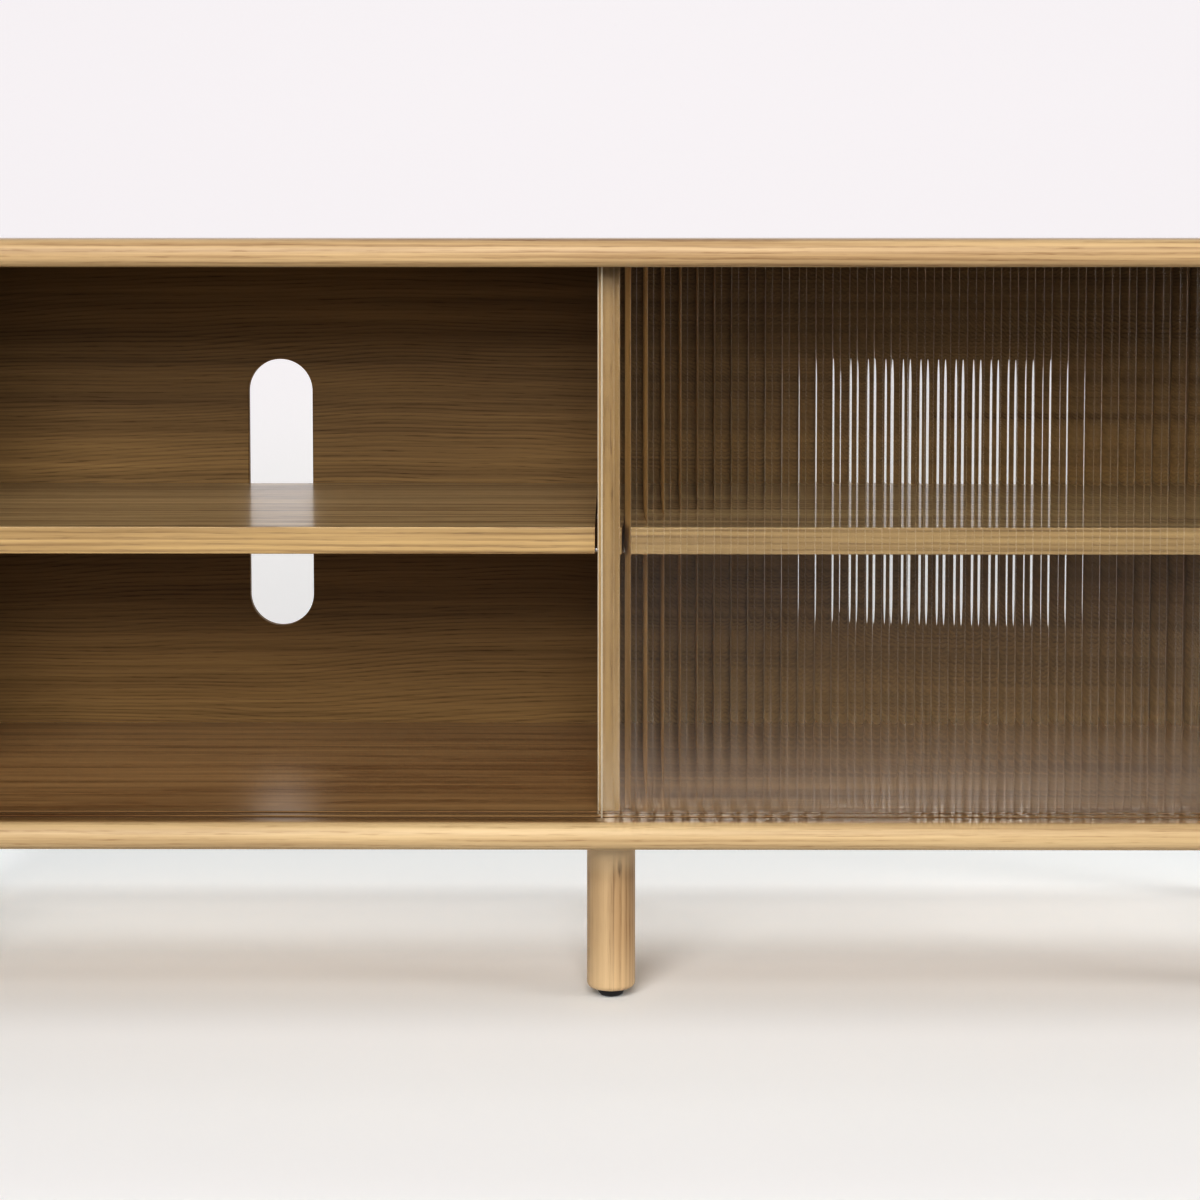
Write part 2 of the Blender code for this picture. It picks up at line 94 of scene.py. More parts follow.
# A countersunk screw's shank, cone and rim, as shares of its head's radius
SCREW_SHANK = 0.5
SCREW_CONE = 0.71
SCREW_RIM = 0.11

# Shelf pins
PIN_SIDES = 40
PIN_ROUND = 0.0006
PIN_STEPS = 6

# Door grooves: painted shade darkens the strip around the lower two, which ends just behind the rear one,
# and below GROOVE_WALL_TOP_Z, on their walls, the painted shade is darkest
GROOVE_WIDTH = 0.0065
GROOVE_DEPTHS = {"top_panel": 0.013, "bottom_panel": 0.007}
GROOVE_STRIP_END_Y = -0.155
GROOVE_WALL_TOP_Z = 0.1412
GROOVE_WALL_FADE = 0.0004

# How far the painted light on the divider's cheeks reaches around onto its front edge
CHEEK_DEPTH = 0.0006

# Reeded glass: the reeds are broad, with crests flatter than a round one's. Valleys are sharp.
REED_PITCH = 0.0122
REED_DEPTH = 0.0012
REED_STEPS = 28
REED_SQUARENESS = 3.5
GLASS_CHAMFER = 0.0004
GLASS_SHARP_ANGLE = math.radians(32)
GROUND_EDGE = 0.0009
VALLEY_HAZE = 0.0005
REED_PHASE = {"glass_door_right": 0.0014, "glass_door_left": 0.0117}

# Legs and glides
LEG_FOOT_RADIUS = 0.004
LEG_STEPS = 10
LEG_SIDES = 96
GLIDE_HEIGHT = 0.006
GLIDE_FOOT_RADIUS = 0.0058
GLIDE_RIM = 0.0012
GLIDE_STEPS = 12
GLIDE_SIDES = 72
SPIGOT_RADIUS = 0.0025
STAVE_SEAM = 0.0018
STAVE_BLUR = 0.0002
# Heights where the painted light on a leg's top and on its foot begins
PAINTED_LIGHT_TOP_Z = 0.090
PAINTED_LIGHT_FOOT_Z = 0.060
KNOT_X = 0.0062
KNOT_Z = 0.101
KNOT_HALF_WIDTH = 0.0022
KNOT_HALF_HEIGHT = 0.0100

SIDES = {"left": -1, "right": 1}
cad_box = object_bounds()


# Camera ------------------------------------------------------------------------------------------


def make_camera():
    lens = bpy.data.cameras.new("camera")
    lens.lens = CAMERA_LENS
    lens.shift_y = CAMERA_SHIFT_Y
    camera = bpy.data.objects.new("camera", lens)
    camera.location = CAMERA_PLACE
    camera.rotation_euler = (math.pi / 2 - CAMERA_DOWN, 0, CAMERA_LEFT)
    bpy.context.scene.collection.objects.link(camera)
    bpy.context.scene.camera = camera


make_camera()


# Node trees --------------------------------------------------------------------------------------


class Tree:
    """Builds one material's nodes. Inputs are numbers, tuples or other nodes' sockets."""

    def __init__(self, name):
        self.material = bpy.data.materials.new(name)
        self.material.use_nodes = True
        self.nodes = self.material.node_tree.nodes
        self.links = self.material.node_tree.links
        self.nodes.clear()

    def add(self, kind, inputs=(), **settings):
        """Adds a node, sets its attributes and fills its inputs, which are keyed by name or number."""
        node = self.nodes.new(kind)
        for key, value in settings.items():
            setattr(node, key, value)
        for key, value in dict(inputs).items():
            socket = node.inputs[key]
            if isinstance(value, bpy.types.NodeSocket):
                self.links.new(value, socket)
            else:
                socket.default_value = value
        return node

    def maths(self, operation, a, b=0.0, c=0.0):
        return self.add("ShaderNodeMath", {0: a, 1: b, 2: c}, operation=operation).outputs[0]

    def scaled(self, vector, factors):
        made = self.add("ShaderNodeVectorMath", {0: vector, 1: factors}, operation="MULTIPLY")
        return made.outputs[0]

    def noise(self, vector, scale, detail=2.0, roughness=0.5):
        made = self.add("ShaderNodeTexNoise", {"Vector": vector, "Scale": scale, "Detail": detail,
                                               "Roughness": roughness})
        return made.outputs[0]

    def band(self, value, low, high, to_low=0.0, to_high=1.0):
        """Maps low..high smoothly onto to_low..to_high."""
        made = self.add("ShaderNodeMapRange", {0: value, 1: low, 2: high, 3: to_low, 4: to_high},
                        interpolation_type="SMOOTHSTEP")
        return made.outputs[0]

    def blend(self, factor, a, b):
        """A colour between a and b."""
        made = self.add("ShaderNodeMix", {0: factor, 6: a, 7: b}, data_type="RGBA")
        return made.outputs[2]

    def tint(self, factor, colour, by):
        """A colour multiplied by another, as far as factor says."""
        made = self.add("ShaderNodeMix", {0: factor, 6: colour, 7: (*by, 1.0)},
                        data_type="RGBA", blend_type="MULTIPLY")
        return made.outputs[2]

    def split(self, vector):
        """A vector's X, Y and Z."""
        return self.add("ShaderNodeSeparateXYZ", {0: vector}).outputs

    def finish(self, shader):
        self.add("ShaderNodeOutputMaterial", {"Surface": shader})
        return self.material


# Oak ---------------------------------------------------------------------------------------------

# Turns that bring a board's grain to X, its width to Y and its thickness to Z
GRAIN_TURNS = {
    "x_flat": (0, 0, 0),
    "x_upright": (math.pi / 2, 0, 0),
    "z_front": (0, math.pi / 2, 0),
}

# How fine each layer of the figure is: its noise's cells in a metre, along, across and through the board
WANDER = (2.2, 6.0, 6.0)
RIPPLE = (9.0, 60.0, 60.0)
FADE = (4.0, 70.0, 70.0)
PORES = (42.0, 1150.0, 1150.0)
STREAKS = (4.0, 330.0, 330.0)
BANDS = (1.6, 85.0, 85.0)
CLOUDS = (1.3, 12.0, 12.0)

# Tones run from the light wood at 0 to the dark at 1, and a little past both. On average the rings darken
# a board by about RING_SHARE of their strength, which is taken off again.
MEAN_TONE = 0.28
LIGHTEST_TONE = -0.35
DARKEST_TONE = 1.35
RING_SHARE = 0.18
PORE_STRENGTH = 0.4
CLOUD_STRENGTH = 0.8


def growth_rings(t, grain_place, heart, ring, sway, tilt):
    """How much each point is early wood, from 0 to 1.

    The log leans and wanders along its length, and its rings are not quite round.
    """
    along, across, deep = t.split(grain_place)
    wander = t.maths("SUBTRACT", t.noise(t.scaled(grain_place, WANDER), 1.0, 2.0), 0.5)
    ripple = t.maths("SUBTRACT", t.noise(t.scaled(grain_place, RIPPLE), 1.0, 3.0), 0.5)
    side = t.maths("ADD", across, t.maths("MULTIPLY", along, tilt))
    side = t.maths("ADD", side, t.maths("MULTIPLY", wander, sway))
    depth = t.maths("ADD", t.maths("ADD", deep, heart), t.maths("MULTIPLY", along, tilt * 0.6))
    depth = t.maths("ADD", depth, t.maths("MULTIPLY", wander, sway * 0.3))
    radius = t.maths("SQRT", t.maths("ADD", t.maths("POWER", side, 2.0), t.maths("POWER", depth, 2.0)))
    radius = t.maths("ADD", radius, t.maths("MULTIPLY", ripple, ring))
    year = t.maths("FRACT", t.maths("DIVIDE", radius, ring))
    return t.maths("MULTIPLY", t.band(year, 0.0, 0.12), t.band(year, 0.16, 0.62, 1.0, 0.0))


def open_pores(t, grain_place, early):
    """Short dark dashes, thickest in the early wood of each year."""
    pores = t.band(t.noise(t.scaled(grain_place, PORES), 1.0, 2.0, 0.6), 0.52, 0.68)
    return t.maths("MULTIPLY", pores, t.maths("ADD", t.maths("MULTIPLY", early, 0.7), 0.3))


def oak(name, grain, offset, light, dark, heart=0.3, ring=0.0042, ring_strength=0.5, streak_strength=1.6,
        band_strength=1.0, sway=0.03, tilt=0.01, roughness=0.36, coat=0.1, coat_roughness=0.16,
        gloss_level=0.5, front=None, nose_matt=0.0, face_tint=None, face_contrast=0.0, shape=None):
    """Lacquered oak: growth rings cut from a tilted log, dark open pores along them and soft streaks.

    heart is how deep the log's heart lies under the board's face: a small value gives wide arches. ring is
    a year's growth. sway and tilt are how far the log wanders and leans along its length.
    front is where, in Y, the solid front edge ends and the veneered faces begin. nose_matt is how much
    rougher that edge is, face_tint multiplies the colour of the faces and face_contrast adds to their
    figure. The edge has no gloss coat.
    shape may change the finished colour: it takes the tree, the object's coordinates and the colour.
    """
    t = Tree(name)
    place = t.add("ShaderNodeTexCoord").outputs["Object"]
    mapped = t.add("ShaderNodeMapping", {"Vector": place, "Location": offset, "Rotation": GRAIN_TURNS[grain]})
    grain_place = mapped.outputs[0]
    early = growth_rings(t, grain_place, heart, ring, sway, tilt)
    fade = t.band(t.noise(t.scaled(grain_place, FADE), 1.0, 2.0), 0.35, 0.65, 0.25, 1.0)
    pores = open_pores(t, grain_place, early)
    streaks = t.noise(t.scaled(grain_place, STREAKS), 1.0, 3.0, 0.6)
    bands = t.noise(t.scaled(grain_place, BANDS), 1.0, 2.0, 0.5)
    clouds = t.noise(t.scaled(grain_place, CLOUDS), 1.0, 2.0)

    tone = t.maths("MULTIPLY_ADD", t.maths("MULTIPLY", early, fade), ring_strength,
                   MEAN_TONE - ring_strength * RING_SHARE)
    tone = t.maths("MULTIPLY_ADD", pores, PORE_STRENGTH, tone)
    tone = t.maths("MULTIPLY_ADD", t.maths("SUBTRACT", streaks, 0.5), streak_strength, tone)
    tone = t.maths("MULTIPLY_ADD", t.maths("SUBTRACT", bands, 0.5), band_strength, tone)
    tone = t.maths("MULTIPLY_ADD", t.maths("SUBTRACT", clouds, 0.5), CLOUD_STRENGTH, tone)
    if front:
        face = t.band(t.split(place)[1], *front)
        gain = t.maths("MULTIPLY_ADD", face, face_contrast, 1.0)
        tone = t.maths("MULTIPLY_ADD", t.maths("SUBTRACT", tone, MEAN_TONE), gain, MEAN_TONE)
    tone = t.maths("MINIMUM", t.maths("MAXIMUM", tone, LIGHTEST_TONE), DARKEST_TONE)
    mixed = t.add("ShaderNodeMix", {0: tone, 6: (*light, 1.0), 7: (*dark, 1.0)},
                  data_type="RGBA", clamp_factor=False)
    colour = mixed.outputs[2]
    if shape:
        colour = shape(t, place, colour)

    relief = t.maths("ADD", t.maths("MULTIPLY", pores, -1.0), t.maths("MULTIPLY", streaks, 0.25))
    bump = t.add("ShaderNodeBump", {"Strength": 0.3, "Distance": 0.0001, "Height": relief})
    gloss = t.maths("MULTIPLY_ADD", pores, 0.12, roughness)
    lacquer = coat
    if front:
        gloss = t.maths("ADD", gloss, t.band(face, 0.0, 1.0, nose_matt, 0.0))
        lacquer = t.maths("MULTIPLY", face, coat)
        if face_tint:
            colour = t.tint(face, colour, face_tint)
    wood = t.add("ShaderNodeBsdfPrincipled", {
        "Base Color": colour, "Roughness": gloss, "Normal": bump.outputs[0],
        "Specular IOR Level": gloss_level, "Coat Weight": lacquer, "Coat Roughness": coat_roughness})
    return t.finish(wood.outputs[0])


def painted_light_cheeks(t, place, colour):
    """Painted light: the cheeks of the divider are made paler than its front edge, as if lit from the side."""
    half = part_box("centre_divider")[1].x
    cheek = t.band(t.maths("ABSOLUTE", t.split(place)[0]), half - CHEEK_DEPTH, half - CHEEK_DEPTH / 3)
    # Painted light: the cheeks are tinted paler, as light from the side would show them
    return t.tint(cheek, colour, (1.65, 1.6, 1.5))


def painted_shade_grooves(t, place, colour):
    """Painted shade: the strip that holds the door grooves is darker than the faces, and their walls are
    darkest.
    """
    _, y, z = t.split(place)
    below = t.band(z, GROOVE_WALL_TOP_Z + GROOVE_WALL_FADE, GROOVE_WALL_TOP_Z)
    front = cad_box[0][1]
    inside = t.band(y, front + NOSE_DEPTH, front + 2 * NOSE_DEPTH)
    in_front = t.band(y, GROOVE_STRIP_END_Y, GROOVE_STRIP_END_Y + NOSE_DEPTH, 1.0, 0.0)
    strip = t.maths("MULTIPLY", inside, in_front)
    # Painted shade: the strip is darkened, and the groove walls below the lip most of all
    amount = t.maths("MULTIPLY", strip, t.maths("MULTIPLY_ADD", below, 0.45, 0.4))
    return t.blend(amount, colour, (0.085, 0.048, 0.022, 1.0))


# Glass, plastic and metal ------------------------------------------------------------------------


def clear_glass(name, low_x, high_x, phase):
    """Reeded glass with pale ground edges and a little haze in its valleys.

    Light from lamps and from matt surfaces passes it unbent, so that the bay behind it is lit.
    """
    t = Tree(name)
    place = t.add("ShaderNodeTexCoord").outputs["Object"]
    x = t.split(place)[0]
    left = t.maths("LESS_THAN", x, low_x + GROUND_EDGE)
    right = t.maths("GREATER_THAN", x, high_x - GROUND_EDGE)
    ground = t.maths("ADD", left, right)
    turn = t.maths("FRACT", t.maths("DIVIDE", t.maths("SUBTRACT", x, low_x + phase), REED_PITCH))
    from_crest = t.maths("ABSOLUTE", t.maths("SUBTRACT", turn, 0.5))
    from_valley = t.maths("MULTIPLY", t.maths("SUBTRACT", 0.5, from_crest), REED_PITCH)
    haze = t.band(from_valley, VALLEY_HAZE / 2, VALLEY_HAZE, 1.0, 0.0)
    haze = t.maths("MAXIMUM", haze, ground)
    roughness = t.maths("MULTIPLY_ADD", ground, 0.2, t.maths("MULTIPLY", haze, 0.27))
    clearness = t.maths("MULTIPLY_ADD", ground, -0.65, t.maths("MULTIPLY_ADD", haze, -0.010, 1.0))
    ripples = t.noise(t.scaled(place, (60.0, 60.0, 4.0)), 1.0, 1.0)
    bump = t.add("ShaderNodeBump", {"Strength": 0.02, "Distance": 0.0001, "Height": ripples})
    glass = t.add("ShaderNodeBsdfPrincipled", {
        "Base Color": t.blend(ground, (0.995, 0.997, 0.998, 1.0), (0.64, 0.58, 0.48, 1.0)),
        "Roughness": roughness, "Transmission Weight": clearness, "IOR": 1.52, "Normal": bump.outputs[0]})
    open_way = t.add("ShaderNodeBsdfTransparent", {"Color": (0.96, 0.962, 0.96, 1.0)})
    path = t.add("ShaderNodeLightPath")
    unbent = t.maths("MAXIMUM", path.outputs["Is Shadow Ray"], path.outputs["Is Diffuse Ray"])
    mixed = t.add("ShaderNodeMixShader", {0: unbent, 1: glass.outputs[0], 2: open_way.outputs[0]})
    return t.finish(mixed.outputs[0])


def speckled(name, colour, other, roughness, spread, scale, metallic=0.0):
    """A moulded or plated surface with fine mottling in its colour, gloss and relief."""
    t = Tree(name)
    place = t.add("ShaderNodeTexCoord").outputs["Object"]
    grains = t.noise(place, scale, 3.0)
    clouds = t.noise(place, scale * 0.08, 2.0)
    colour_here = t.blend(t.band(clouds, 0.3, 0.7), (*colour, 1.0), (*other, 1.0))
    gloss = t.band(grains, 0.3, 0.7, roughness, roughness + spread)
    bump = t.add("ShaderNodeBump", {"Strength": 0.3, "Distance": 0.00005, "Height": grains})
    made = t.add("ShaderNodeBsdfPrincipled", {
        "Base Color": colour_here, "Roughness": gloss, "Metallic": metallic, "Normal": bump.outputs[0]})
    return t.finish(made.outputs[0])


# Shapes ------------------------------------------------------------------------------------------


def close_rings(bm, rings):
    """Skins rings of equal length one to the next and caps the first and the last."""
    count = len(rings[0])
    for low, high in zip(rings, rings[1:]):
        for i in range(count):
            j = (i + 1) % count
            bm.faces.new((low[i], low[j], high[j], high[i]))
    bm.faces.new(list(reversed(rings[0])))
    bm.faces.new(rings[-1])


def prism(bm, outline, start, end, place):
    """Extrudes an outline of (u, v) points from w = start(u, v) to w = end(u, v). place orders the axes."""
    rings = [[bm.verts.new(place(u, v, w(u, v))) for u, v in outline] for w in (start, end)]
    close_rings(bm, rings)


def level(w):
    """A flat end of a prism."""
    return lambda u, v: w


def along_x(u, v, w):
    return (w, u, v)


def along_y(u, v, w):
    return (u, w, v)


def along_z(u, v, w):
    return (u, v, w)


def turned(bm, profile, sides, centre=(0, 0, 0), axis=(0, 0, 1)):
    """Turns a profile of (radius, height) points about an axis. Both ends are capped flat."""
    turn = Vector((0, 0, 1)).rotation_difference(Vector(axis)).to_matrix().to_4x4()
    at = Matrix.Translation(centre) @ turn
    rings = []
    for radius, height in profile:
        ring = []
        for i in range(sides):
            angle = math.tau * i / sides
            spot = Vector((radius * math.cos(angle), radius * math.sin(angle), height))
            ring.append(bm.verts.new(at @ spot))
        rings.append(ring)
    close_rings(bm, rings)


def piece(name, bm, look, node, body="cabinet"):
    """One finished piece that stands for a CAD node, rides on its body and takes its slot's finish."""
    made = plain_object(name, bm)
    made.data.materials.append(look)
    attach(made, body)
    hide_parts(node)
    return made


def plain_object(name, bm):
    bmesh.ops.recalc_face_normals(bm, faces=bm.faces)
    mesh = bpy.data.meshes.new(name)
    bm.to_mesh(mesh)
    bm.free()
    made = bpy.data.objects.new(name, mesh)
    bpy.context.scene.collection.objects.link(made)
    return made


def cut(made, *cutters):
    """Subtracts each cutter from a piece for good and removes the cutters."""
    for cutter in cutters:
        step = made.modifiers.new("cut", "BOOLEAN")
        step.operation = "DIFFERENCE"
        step.solver = "EXACT"
        step.object = cutter
    graph = bpy.context.evaluated_depsgraph_get()
    mesh = bpy.data.meshes.new_from_object(made.evaluated_get(graph))
    made.modifiers.clear()
    made.data = mesh
    for cutter in cutters:
        bpy.data.objects.remove(cutter)


def shade(made):
    """Smooth where faces meet gently, sharp elsewhere, with the large flat faces kept flat."""
    made.data.shade_smooth()
    made.data.set_sharp_from_angle(angle=SHARP_ANGLE)
    step = made.modifiers.new("even_shading", "WEIGHTED_NORMAL")
    step.keep_sharp = True
    step.weight = 100


# Outlines ----------------------------------------------------------------------------------------


def arc(centre, radius, first, last, steps):
    """Points on an arc, in radians from +u towards +v."""
    points = []
    for i in range(steps + 1):
        angle = first + (last - first) * i / steps
        points.append((centre[0] + radius * math.cos(angle), centre[1] + radius * math.sin(angle)))
    return points


def nose(front, thickness):
    """A bullnose as (depth, distance from the inner face) points, from the inner face to the outer one."""
    points = []
    for i in range(NOSE_STEPS + 1):
        angle = math.pi * i / NOSE_STEPS - math.pi / 2
        depth = front + NOSE_DEPTH * (1 - math.cos(angle))
        points.append((depth, thickness / 2 * (1 + math.sin(angle))))
    return points


def groove(centre, depth):
    """A door groove with a small arris at each lip, from its rear lip to its front lip."""
    half = GROOVE_WIDTH / 2
    rear = [(centre + half + ARRIS, 0), (centre + half, ARRIS), (centre + half, depth)]
    front = [(centre - half, depth), (centre - half, ARRIS), (centre - half - ARRIS, 0)]
    return rear + front


def board_outline(front, back, rebate_front, thickness, grooves=()):
    """A carcass board's section: nose, outer face, rear arris, rebate and grooves."""
    points = nose(front, thickness)
    points += [(back - ARRIS, thickness), (back, thickness - ARRIS), (back, REBATE)]
    points += [(rebate_front, REBATE), (rebate_front, ARRIS), (rebate_front - ARRIS, 0)]
    for centre, depth in grooves:
        points += groove(centre, depth)
    return points


def eased_outline(front, rear, low, high):
    """A board's section with rounded front edges, as (depth, height) points."""
    r = EASED_EDGE
    points = [(rear, low), (rear, high)]
    points += arc((front + r, high - r), r, math.pi / 2, math.pi, EASED_STEPS)
    points += arc((front + r, low + r), r, math.pi, 1.5 * math.pi, EASED_STEPS)
    return points


# Boards ------------------------------------------------------------------------------------------


def outer_edge_cutter(low, high):
    """Rounds the four long outside edges of the carcass between its lowest and highest corners."""
    bm = bmesh.new()
    r = OUTER_EDGE_RADIUS
    middle, half_x, half_z = (low.z + high.z) / 2, high.x, (high.z - low.z) / 2
    cx, cz, far = half_x - r, half_z - r, r + OVERCUT
    corner = arc((cx, cz), r, 0, math.pi / 2, OUTER_EDGE_STEPS)
    corner += [(cx, cz + far), (cx + far, cz + far), (cx + far, cz)]
    for sx in (-1, 1):
        for sz in (-1, 1):
            outline = [(sx * x, middle + sz * z) for x, z in corner]
            prism(bm, outline, level(low.y - OVERCUT), level(high.y + OVERCUT), along_y)
    return plain_object("outer_edge_cutter", bm)


def make_boards(looks):
    """The mitred top, bottom and side boards."""
    low, high = Vector(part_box("bottom_panel")[0]), Vector(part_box("top_panel")[1])
    low.x, high.x = cad_box[0][0], cad_box[1][0]
    thickness = high.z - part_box("top_panel")[0].z
    inner_x = high.x - thickness
    rebate_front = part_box("back_panel")[0].y
    floor_z, ceiling_z = low.z + thickness, high.z - thickness
    centres = [sum(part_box(door)[i].y for i in (0, 1)) / 2 for door in ("glass_door_left", "glass_door_right")]

    for name, inner_z, up in (("top_panel", ceiling_z, 1), ("bottom_panel", floor_z, -1)):
        grooves = [(centre, GROOVE_DEPTHS[name]) for centre in centres]
        outline = board_outline(low.y, high.y, rebate_front, thickness, grooves)
        bm = bmesh.new()

        def right_end(_, z, inner_z=inner_z):
            return inner_x + abs(z - inner_z) - MITRE_GAP

        def left_end(_, z, inner_z=inner_z):
            return -inner_x - abs(z - inner_z) + MITRE_GAP

        prism(bm, [(y, inner_z + up * t) for y, t in outline], left_end, right_end, along_x)
        made = piece(name.replace("panel", "board"), bm, looks[name], name)
        cut(made, outer_edge_cutter(low, high))
        shade(made)

    for side, sx in SIDES.items():
        bm = bmesh.new()
        outline = board_outline(low.y, high.y, rebate_front, thickness)

        def low_end(x, _):
            return floor_z - (abs(x) - inner_x) + MITRE_GAP

        def high_end(x, _):
            return ceiling_z + (abs(x) - inner_x) - MITRE_GAP

        prism(bm, [(sx * (inner_x + t), y) for y, t in outline], low_end, high_end, along_z)
        node = f"side_panel_{side}"
        made = piece(f"side_board_{side}", bm, looks[node], node)
        cut(made, outer_edge_cutter(low, high))
        shade(made)


def make_divider(look):
    low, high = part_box("centre_divider")
    outline = [(x, y) for y, x in eased_outline(low.y, high.y, low.x, high.x)]
    bm = bmesh.new()
    prism(bm, outline, level(low.z), level(high.z), along_z)
    shade(piece("divider_board", bm, look, "centre_divider"))


def make_shelves(looks):
    for side in SIDES:
        low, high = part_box(f"shelf_{side}")
        bm = bmesh.new()
        prism(bm, eased_outline(low.y, high.y, low.z, high.z), level(low.x), level(high.x), along_x)
        shade(piece(f"shelf_board_{side}", bm, looks[side], f"shelf_{side}"))


def stadium(centre_x, spread):
    """A cable slot's outline as (x, z) points, wider all round by spread."""
    radius = SLOT_WIDTH / 2
    points = arc((centre_x, SLOT_HIGH_Z - radius), radius + spread, 0, math.pi, SLOT_STEPS)
    return points + arc((centre_x, SLOT_LOW_Z + radius), radius + spread, math.pi, math.tau, SLOT_STEPS)


def slot_cutter(low_y, high_y):
    """Cuts both cable slots with a small arris at each face."""
    bm = bmesh.new()
    cuts = ((low_y - OVERCUT, OVERCUT + EASED_EDGE), (low_y + EASED_EDGE, 0.0),
            (high_y - EASED_EDGE, 0.0), (high_y + OVERCUT, OVERCUT + EASED_EDGE))
    for sx in SIDES.values():
        rings = [[bm.verts.new((x, y, z)) for x, z in stadium(sx * SLOT_CENTRE_X, spread)]
                 for y, spread in cuts]
        close_rings(bm, rings)
    return plain_object("slot_cutter", bm)


def screw_profile(node, spare):
    """A countersunk screw's outline from its head, as (radius, depth) points, and the middle of its head."""
    low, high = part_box(node)
    head = Vector(((low.x + high.x) / 2, high.y, (low.z + high.z) / 2))
    head_radius, length = (high.x - low.x) / 2, high.y - low.y
    shank, cone, rim = head_radius * SCREW_SHANK, head_radius * SCREW_CONE, head_radius * SCREW_RIM
    profile = [(head_radius + spare, -spare * 4), (head_radius + spare, rim), (shank + spare, cone + spare)]
    profile.append((shank + spare, length + spare * 4))
    return profile, head


def make_back_board(look, steel):
    """The back board with its cable slots, and the cross-headed screws that hold it."""
    low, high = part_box("back_panel")
    screws = [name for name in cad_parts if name.startswith("back_screw")]
    c = ARRIS
    outline = [(low.y, low.z + c), (low.y + c, low.z), (high.y - c, low.z), (high.y, low.z + c)]
    outline += [(high.y, high.z - c), (high.y - c, high.z), (low.y + c, high.z), (low.y, high.z - c)]
    bm = bmesh.new()
    prism(bm, outline, level(low.x), level(high.x), along_x)
    board = piece("back_board", bm, look, "back_panel")
    bm = bmesh.new()
    for node in screws:
        profile, head = screw_profile(node, SCREW_CLEARANCE)
        turned(bm, profile, SCREW_SIDES, head, (0, -1, 0))
    cut(board, slot_cutter(low.y, high.y), plain_object("screw_hole_cutter", bm))
    shade(board)

    for node in screws:
        profile, head = screw_profile(node, 0.0)
        bm = bmesh.new()
        turned(bm, profile, SCREW_SIDES, head, (0, -1, 0))
        made = piece(node.replace("back_screw", "cross_screw"), bm, steel, node)
        bars = []
        for half_x, half_z in ((RECESS_REACH, RECESS_WIDTH / 2), (RECESS_WIDTH / 2, RECESS_REACH)):
            bm = bmesh.new()
            corners = [(head.x + sx * half_x, head.z + sz * half_z)
                       for sx, sz in ((-1, -1), (1, -1), (1, 1), (-1, 1))]
            prism(bm, corners, level(head.y - RECESS_DEPTH), level(head.y + OVERCUT), along_y)
            bars.append(plain_object("recess_cutter", bm))
        cut(made, *bars)
        shade(made)


def make_pins(steel):
    """Shelf pins with rounded ends."""
    for node in [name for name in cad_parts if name.startswith("shelf_pin")]:
        low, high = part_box(node)
        radius, length = (high.z - low.z) / 2, high.x - low.x
        start = [(radius - r, z) for r, z in
                 [(PIN_ROUND * (1 - math.sin(a)), PIN_ROUND * (1 - math.cos(a)))
                  for a in [math.pi / 2 * i / PIN_STEPS for i in range(PIN_STEPS + 1)]]]
        profile = start + [(r, length - z) for r, z in reversed(start)]
        bm = bmesh.new()
        turned(bm, profile, PIN_SIDES, (low.x, (low.y + high.y) / 2, (low.z + high.z) / 2), (1, 0, 0))
        shade(piece(node.replace("shelf_pin", "round_pin"), bm, steel, node))


# Doors -------------------------------------------------------------------------------------------


def reed_height(offset):
    """How far a reed stands above its valleys at an offset from its middle."""
    return REED_DEPTH * (1 - abs(2 * offset / REED_PITCH) ** REED_SQUARENESS)


def reeded_outline(low, high, phase):
    """A pane's section from above as (x, y) points: a flat back with chamfers and reeds to the front."""
    c = GLASS_CHAMFER
    valley = low.y + REED_DEPTH
    points = [(high.x, high.y - c), (high.x - c, high.y), (low.x + c, high.y), (low.x, high.y - c)]
    points += [(low.x, valley + c)]
    step = REED_PITCH / REED_STEPS
    count = int((high.x - low.x - 2 * c) / step)
    for i in range(count + 1):
        x = low.x + c + i * step
        offset = (x - low.x - phase) % REED_PITCH - REED_PITCH / 2
        points.append((x, valley - reed_height(offset)))
    points.append((high.x, valley + c))
    return points


def make_doors():
    for side in SIDES:
        node = f"glass_door_{side}"
        low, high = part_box(node)
        look = clear_glass(f"reeded_glass_{side}", low.x, high.x, REED_PHASE[node])
        bm = bmesh.new()
        prism(bm, reeded_outline(low, high, REED_PHASE[node]), level(low.z), level(high.z), along_z)
        made = piece(f"reeded_pane_{side}", bm, look, node, f"{side}_door")
        made.data.shade_smooth()
        made.data.set_sharp_from_angle(angle=GLASS_SHARP_ANGLE)


# Legs and glides ---------------------------------------------------------------------------------


